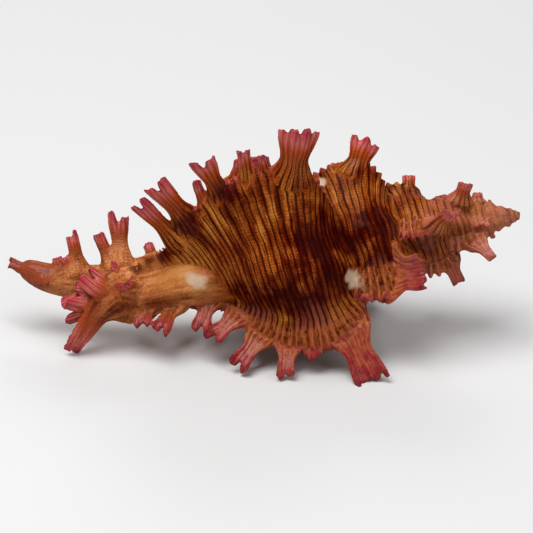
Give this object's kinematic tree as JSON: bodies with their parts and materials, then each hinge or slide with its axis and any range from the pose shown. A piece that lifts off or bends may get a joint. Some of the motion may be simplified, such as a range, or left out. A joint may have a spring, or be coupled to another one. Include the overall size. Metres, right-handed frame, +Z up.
{
  "type": "murex seashell",
  "caption": "Spindle-shaped sea snail shell with rows of branched fronds, a coiled spire, an oval aperture and a long curved canal; lies on its frond tips.",
  "frame": {"origin": "middle of the footprint's bounding box, on the surface that the shell lies on", "axes": "+Z up; +X from the canal towards the apex, level; +Y towards the side of the aperture"},
  "size_m": [0.0995, 0.0408, 0.0499],
  "materials": {
    "shell": "waxy natural shell, orange-brown with dark spiral lines and pink frond tips"
  },
  "bodies": {
    "root": {"murex_shell": "shell"}
  },
  "joints": []
}
